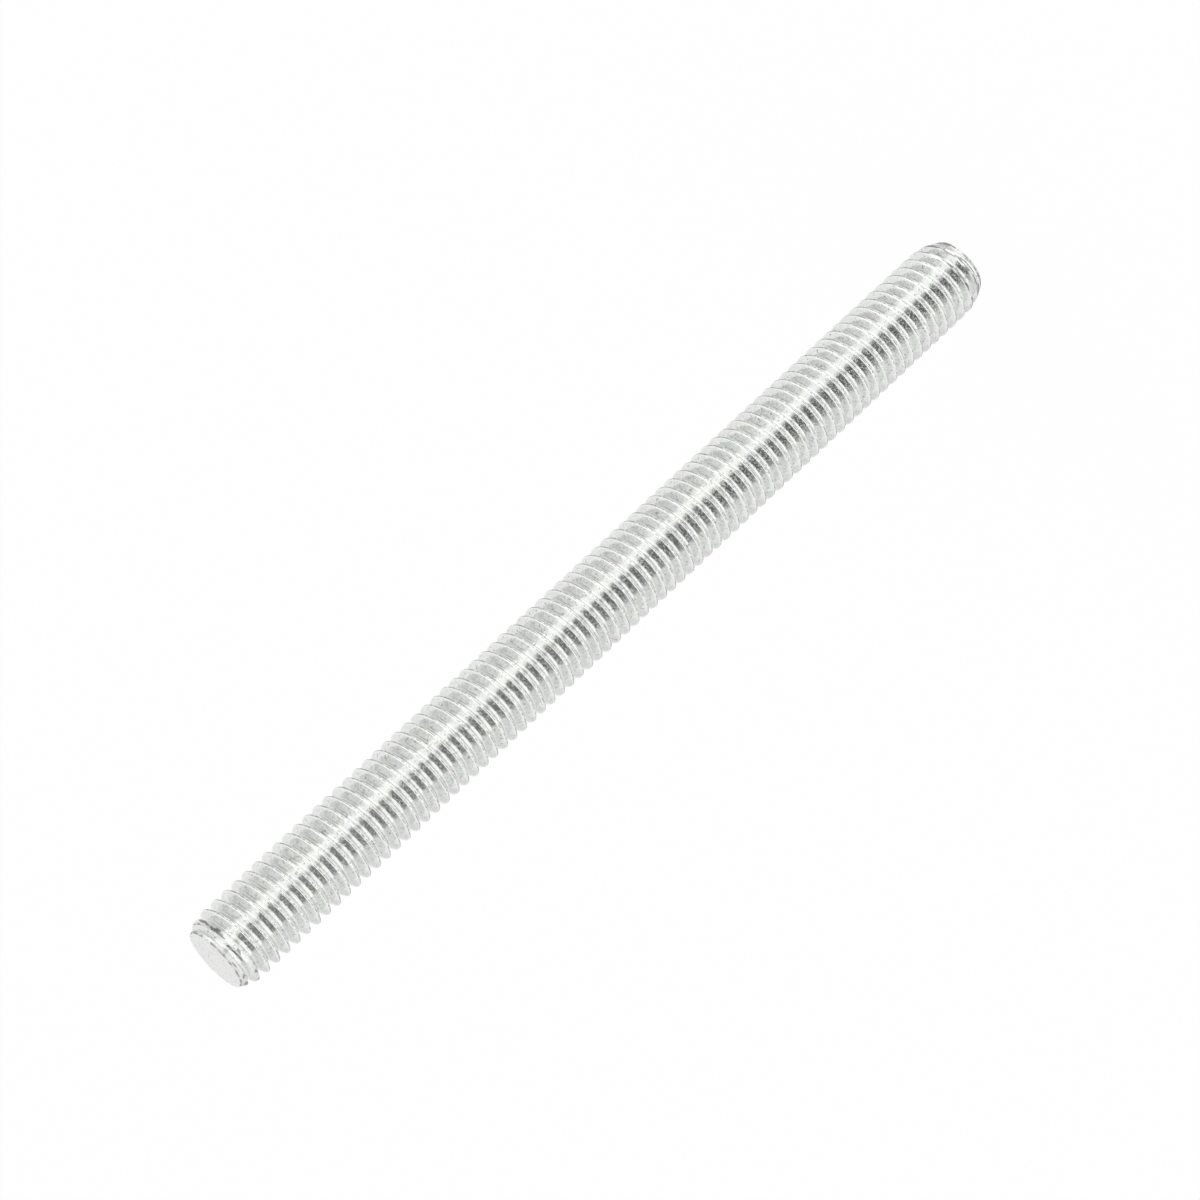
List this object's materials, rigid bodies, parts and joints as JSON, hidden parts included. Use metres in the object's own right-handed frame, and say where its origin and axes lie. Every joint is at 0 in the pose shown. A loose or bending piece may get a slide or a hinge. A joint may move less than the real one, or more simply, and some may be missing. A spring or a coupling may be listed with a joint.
{
  "type": "threaded rod",
  "caption": "Straight metal rod threaded along its whole length, with flat chamfered ends, for joining and clamping parts with nuts.",
  "frame": {"origin": "centre of the lower end face, which the rod stands on", "axes": "+Z along the rod's axis, from the lower end face to the upper one; X and Y are equal, because the rod is round"},
  "size_m": [0.0078, 0.0078, 0.1],
  "materials": {
    "zinc_plated_steel": "bright zinc plating, faintly mottled, with darker grime in the grooves of the thread"
  },
  "bodies": {
    "root": {"threaded_rod": "zinc_plated_steel"}
  },
  "joints": []
}
